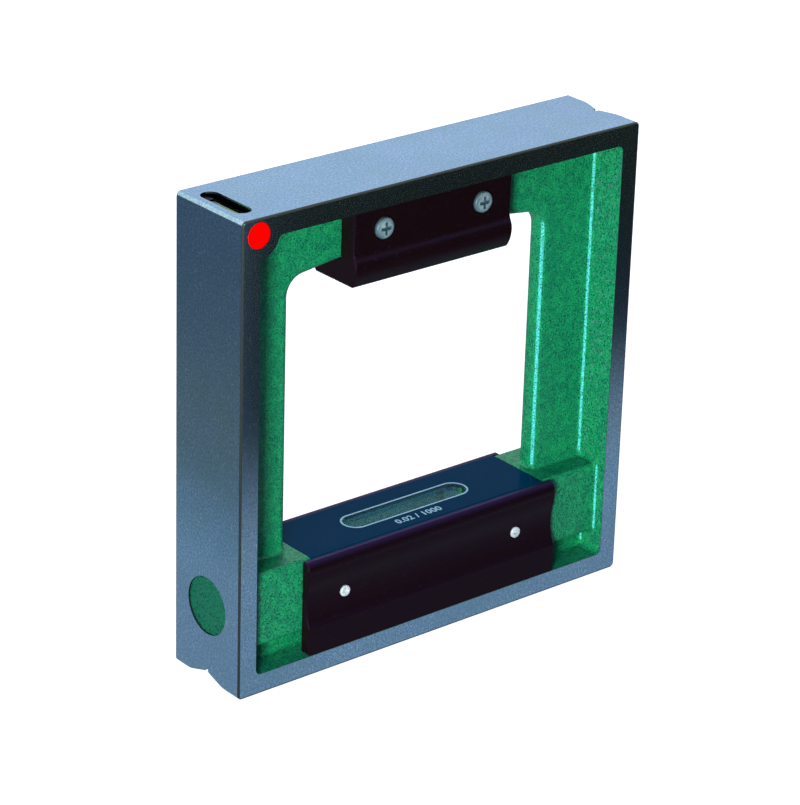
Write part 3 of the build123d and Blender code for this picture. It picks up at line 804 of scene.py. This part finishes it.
def lathe(profile, spinSteps=64):
    # closed solid of revolution about X from (along, radius) pairs
    bm = bmesh.new()
    rings = []
    for along, radius in profile:
        ring = [
            bm.verts.new((along, radius * math.cos(angle), radius * math.sin(angle)))
            for angle in (2 * math.pi * index / spinSteps for index in range(spinSteps))
        ]
        rings.append(ring)
    closeRings(bm, rings, rings[1:])
    for ring in (rings[0], rings[-1]):
        bm.faces.new(ring)
    bmesh.ops.recalc_face_normals(bm, faces=bm.faces)
    return bm


def roundEndProfile(half, radius, corner, steps=10):
    right = [
        (half - corner + corner * math.sin(angle), radius - corner + corner * math.cos(angle))
        for angle in (math.pi / 2 * index / steps for index in range(steps + 1))
    ]
    return [(-along, out) for along, out in reversed(right)] + right


def bubbleMesh(half, level, radius, alongSteps=72, roundSteps=36, rimCurl=0.35):
    # gas pool under the crown of a bore along X, round ended in plan, its lower rim curled up
    bm = bmesh.new()
    width = math.sqrt(radius ** 2 - level ** 2)
    rings = []
    for index in range(1, alongSteps):
        x = -half * math.cos(math.pi * index / alongSteps)
        past = max(0.0, abs(x) - (half - width)) / width
        reach = width * math.sqrt(max(0.0, 1 - past ** 2))
        ring = []
        for turn in range(roundSteps):
            angle = 2 * math.pi * turn / roundSteps
            y = reach * math.cos(angle)
            crown = math.sqrt(radius ** 2 - y ** 2)
            drop = max(0.0, -math.sin(angle)) ** rimCurl
            ring.append(bm.verts.new((x, y, crown - (crown - level) * drop)))
        rings.append(ring)
    tips = [bm.verts.new((side * half, 0, radius)) for side in (-1, 1)]
    closeRings(bm, rings, rings[1:])
    for tip, ring in zip(tips, (rings[0], rings[-1])):
        for turn in range(roundSteps):
            bm.faces.new((ring[turn], ring[(turn + 1) % roundSteps], tip))
    bmesh.ops.recalc_face_normals(bm, faces=bm.faces)
    return bm


def smoothPiece(bm, name, body, place, made):
    mesh = bpy.data.meshes.new(name)
    bm.to_mesh(mesh)
    bm.free()
    mesh.transform(place)
    for face in mesh.polygons:
        face.use_smooth = True
    return meshPiece(name, mesh, body, made)


mainAxis = Matrix.Scale(mm, 4) @ Matrix.Translation((0, 0, mainBore))
crossAxis = (
    Matrix.Scale(mm, 4)
    @ Matrix.Translation((crossBore[0], 0, crossBore[1]))
    @ Matrix.Rotation(math.pi / 2, 4, "Z")
)
for size, axis, kind, body, rider in (
    (vial, mainAxis, "main", "vial_carrier", "main_bubble"),
    (crossVial, crossAxis, "cross", "frame_body", "cross_bubble"),
):
    filling = smoothPiece(
        lathe(roundEndProfile(size["cavityHalf"], size["cavityRadius"], size["endRound"])),
        kind + "_spirit", body, axis, spirit,
    )
    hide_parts(kind + "_vial_liquid")
    bubble = smoothPiece(
        bubbleMesh(size["bubbleHalf"], size["bubbleLevel"], size["bubbleRadius"]),
        kind + "_gas", rider, axis, gas,
    )
    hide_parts(kind + "_vial_bubble")
print("vials filled")


# Cement collars and the red plug

def plainMaterial(name, tone, second, roughness, handSize, depth, gloss=0.5):
    made, tree, shader = material(name, Specular_IOR_Level=gloss)
    place = millimetres(tree)
    hands = useGroup(tree, handling, Place=place, Size=handSize)
    feed(tree, shader.inputs["Base Color"], faded(tree, hands["Blotch"], 0.6, tone, second))
    feed(tree, shader.inputs["Roughness"], ranged(tree, hands["Blotch"], roughness, roughness + 0.12))
    grain = noise(tree, place, 14.0 / handSize, **effects["plain"])
    feed(tree, shader.inputs["Normal"], bump(tree, grain, strength=0.2, depth=depth))
    return made


cement = plainMaterial(
    "cement", colour(214, 208, 192), colour(178, 172, 154), roughness=0.7, handSize=4.0, depth=0.08
)
redPlug = plainMaterial(
    "redPlug", colour(255, 2, 0), colour(250, 0, 0), roughness=0.4, handSize=5.0, depth=0.03, gloss=0.0
)
dress(cement, "main_vial_seats", "cross_vial_seats")
dress(redPlug, "cross_vial_plug")


# Graduations round the vials, repeated by Geometry Nodes

def graduationTree():
    tree = bpy.data.node_groups.new("graduations", "GeometryNodeTree")
    sockets = tree.interface
    sockets.new_socket("Geometry", in_out="INPUT", socket_type="NodeSocketGeometry")
    for name, kind in (
        ("First", "Float"), ("Spacing", "Float"), ("Count", "Int"), ("Radius", "Float"),
        ("Line Width", "Float"), ("Line Height", "Float"), ("Half Sweep", "Float"), ("Ink", "Material"),
    ):
        sockets.new_socket(name, in_out="INPUT", socket_type="NodeSocket" + kind)
    sockets.new_socket("Geometry", in_out="OUTPUT", socket_type="NodeSocketGeometry")
    start = tree.nodes.new("NodeGroupInput").outputs
    end = tree.nodes.new("NodeGroupOutput").inputs

    def add(kind, **links):
        node = tree.nodes.new(kind)
        for name, value in links.items():
            feed(tree, node.inputs[name.replace("_", " ")], value)
        return node

    def worked(operation, first, second):
        node = tree.nodes.new("ShaderNodeMath")
        node.operation = operation
        feed(tree, node.inputs[0], first)
        feed(tree, node.inputs[1], second)
        return node.outputs[0]

    def alongX(amount):
        return add("ShaderNodeCombineXYZ", X=amount).outputs[0]

    arc = add("GeometryNodeCurveArc", Radius=start["Radius"])
    feed(tree, arc.inputs["Resolution"], 25)
    feed(tree, arc.inputs["Start Angle"], worked("SUBTRACT", math.pi / 2, start["Half Sweep"]))
    feed(tree, arc.inputs["Sweep Angle"], worked("MULTIPLY", start["Half Sweep"], 2.0))
    section = add(
        "GeometryNodeCurvePrimitiveQuadrilateral", Width=start["Line Height"], Height=start["Line Width"]
    )
    line = add("GeometryNodeCurveToMesh", Curve=arc.outputs["Curve"], Profile_Curve=section.outputs["Curve"])
    feed(tree, line.inputs["Fill Caps"], True)
    upright = add("GeometryNodeTransform", Geometry=line.outputs["Mesh"])
    feed(tree, upright.inputs["Rotation"], (math.pi / 2, 0, math.pi / 2))
    join = tree.nodes.new("GeometryNodeJoinGeometry")
    for side in (1.0, -1.0):
        row = add("GeometryNodeMeshLine", Count=start["Count"])
        feed(tree, row.inputs["Start Location"], alongX(worked("MULTIPLY", start["First"], side)))
        feed(tree, row.inputs["Offset"], alongX(worked("MULTIPLY", start["Spacing"], side)))
        placed = add(
            "GeometryNodeInstanceOnPoints", Points=row.outputs["Mesh"], Instance=upright.outputs["Geometry"]
        )
        tree.links.new(placed.outputs["Instances"], join.inputs["Geometry"])
    solid = add("GeometryNodeRealizeInstances", Geometry=join.outputs["Geometry"])
    inked = add("GeometryNodeSetMaterial", Geometry=solid.outputs["Geometry"], Material=start["Ink"])
    tree.links.new(inked.outputs["Geometry"], end["Geometry"])
    return tree


graduations = {
    "main_graduations": {
        "body": "vial_carrier", "axis": mainAxis,
        "First": 12.6, "Spacing": 2.0, "Count": 6, "Radius": 7.52,
        "Line Width": 0.22, "Line Height": 0.06, "Half Sweep": 0.72,
    },
    "cross_graduations": {
        "body": "frame_body", "axis": crossAxis,
        "First": 3.2, "Spacing": 2.0, "Count": 2, "Radius": 3.77,
        "Line Width": 0.2, "Line Height": 0.05, "Half Sweep": 0.7,
    },
}
ink = plainMaterial(
    "graduationInk", colour(22, 26, 30), colour(34, 38, 42), roughness=0.5, handSize=3.0, depth=0.02
)
lineTree = graduationTree()
for name, size in graduations.items():
    draft = bpy.data.objects.new(name + "Draft", bpy.data.meshes.new(name + "Draft"))
    scene.collection.objects.link(draft)
    modifier = draft.modifiers.new("lines", "NODES")
    modifier.node_group = lineTree
    for item in lineTree.interface.items_tree:
        if item.in_out == "INPUT" and item.name in size:
            modifier[item.identifier] = size[item.name]
        elif item.in_out == "INPUT" and item.name == "Ink":
            modifier[item.identifier] = ink
    mesh = meshFrom(draft)
    mesh.name = name
    mesh.transform(size["axis"])
    meshPiece(name, mesh, size["body"], ink)
print("graduations drawn")


# Stage: pale floor, cards seen only in the polished faces, soft lamps

studio = {
    "floorSize": 8.0,
    "floorDrop": 0.0004,
    "floorTone": (0.26, 0.30, 0.36, 1),
    "floorLift": 0.95,
    "sky": 0.12,
    "skyTint": (0.45, 0.6, 1.6, 1),
    "aim": (0, 0, 0.1),
    # low key, bluish fill above it, rear light, and the key's glint on the paint
    "lamps": {
        "key": {"place": (-1.15, -0.96, 0.24), "size": 0.30, "energy": 30.0, "glossy": False},
        "upper": {
            "place": (-0.82, -0.68, 1.15), "size": 0.8, "energy": 7.0,
            "tint": (0.4, 0.5, 1), "glossy": False,
        },
        "rear": {"place": (0.65, 1.13, 0.85), "size": 0.5, "energy": 20.0, "glossy": False},
        "sparkle": {"place": (-1.15, -0.96, 0.24), "size": 0.7, "energy": 6.0, "diffuse": False},
    },
}
# Cards: corners, and the light they give from these heights up to the next
cards = {
    "frontCard": {
        "corners": ((-0.045, -0.112, 0), (0.52, -0.112, 0), (0.52, -0.112, 0.205), (-0.045, -0.112, 0.205)),
        "tones": ((0.0, (0.30, 0.335, 0.41)), (0.07, (0.02, 0.024, 0.03)), (0.15, (0.019, 0.02, 0.015))),
    },
    "leftCard": {
        "corners": ((-0.17, -0.03, 0), (-0.17, 0.45, 0), (-0.17, 0.45, 0.205), (-0.17, -0.03, 0.205)),
        "tones": ((0.0, (0.22, 0.30, 0.39)), (0.05, (0.15, 0.18, 0.20)), (0.15, (0.09, 0.12, 0.17))),
    },
    "backCard": {
        "corners": ((0.2, 1.6, 0), (1.6, 0.4, 0), (1.6, 0.4, 1.6), (0.2, 1.6, 1.6)),
        "tones": ((0.0, (0.62, 0.68, 0.85)), (0.5, (0.62, 0.68, 0.85)), (1.0, (0.62, 0.68, 0.85))),
    },
    "matCard": {
        "corners": ((-0.5, -0.6, -0.0003), (0.6, -0.6, -0.0003), (0.6, 0.5, -0.0003), (-0.5, 0.5, -0.0003)),
        "tones": ((0.0, (0.29, 0.35, 0.45)), (0.1, (0.29, 0.35, 0.45)), (0.2, (0.29, 0.35, 0.45))),
    },
}


def flatSheet(name, corners):
    mesh = bpy.data.meshes.new(name)
    mesh.from_pydata(corners, [], [tuple(range(len(corners)))])
    sheet = bpy.data.objects.new(name, mesh)
    scene.collection.objects.link(sheet)
    return sheet


def seenWhite(tree):
    # 1 for the rays that should meet a white background: camera, glossy and transmission
    path = put(tree, "LightPath").outputs
    seen = calc(tree, "MAXIMUM", path["Is Camera Ray"], path["Is Glossy Ray"])
    return calc(tree, "MAXIMUM", seen, path["Is Transmission Ray"])


def buildFloor():
    half = studio["floorSize"] / 2
    floor = flatSheet("floor", [(-half, -half, 0), (half, -half, 0), (half, half, 0), (-half, half, 0)])
    floor.location.z = -studio["floorDrop"]
    made, tree, shader = material("floorPaper", Base_Color=studio["floorTone"], Roughness=0.9)
    shader.inputs["Emission Color"].default_value = (1, 1, 1, 1)
    lift = product(tree, seenWhite(tree), studio["floorLift"])
    feed(tree, shader.inputs["Emission Strength"], lift)
    floor.data.materials.append(made)


def buildCard(name, size):
    card = flatSheet(name, size["corners"])
    made, tree, shader = material(name, Roughness=1.0)
    tree.nodes.remove(shader)
    height = spread(tree, put(tree, "TexCoord").outputs["Object"])[2]
    (foot, footTone), (bend, bendTone), (top, topTone) = size["tones"]
    tone = blend(tree, step(tree, height, foot, bend), (*footTone, 1), (*bendTone, 1))
    tone = blend(tree, step(tree, height, bend, top), tone, (*topTone, 1))
    glow = put(tree, "Emission", {"Color": tone, "Strength": 1.0})
    tree.links.new(glow.outputs[0], tree.nodes["Material Output"].inputs["Surface"])
    card.data.materials.append(made)
    card.visible_camera = False
    card.visible_diffuse = False
    card.visible_shadow = False
    card.visible_transmission = False


def buildLight():
    world = bpy.data.worlds.new("studio")
    scene.world = world
    world.use_nodes = True
    tree = world.node_tree
    sky = tree.nodes["Background"]
    white = seenWhite(tree)
    feed(tree, sky.inputs["Color"], blend(tree, white, studio["skyTint"], (1, 1, 1, 1)))
    feed(tree, sky.inputs["Strength"], between(tree, white, studio["sky"], 1.0))
    for name, size in studio["lamps"].items():
        light = bpy.data.lights.new(name, "AREA")
        light.energy = size["energy"]
        light.color = size.get("tint", (1, 1, 1))
        light.size = size["size"]
        lamp = bpy.data.objects.new(name, light)
        scene.collection.objects.link(lamp)
        lamp.location = size["place"]
        aim = Vector(studio["aim"]) - Vector(size["place"])
        lamp.rotation_mode = "QUATERNION"
        lamp.rotation_quaternion = aim.to_track_quat("-Z", "Y")
        lamp.visible_diffuse = size.get("diffuse", True)
        lamp.visible_glossy = size.get("glossy", True)
        lamp.visible_transmission = False


buildFloor()
for name, size in cards.items():
    buildCard(name, size)
buildLight()
print("stage set")
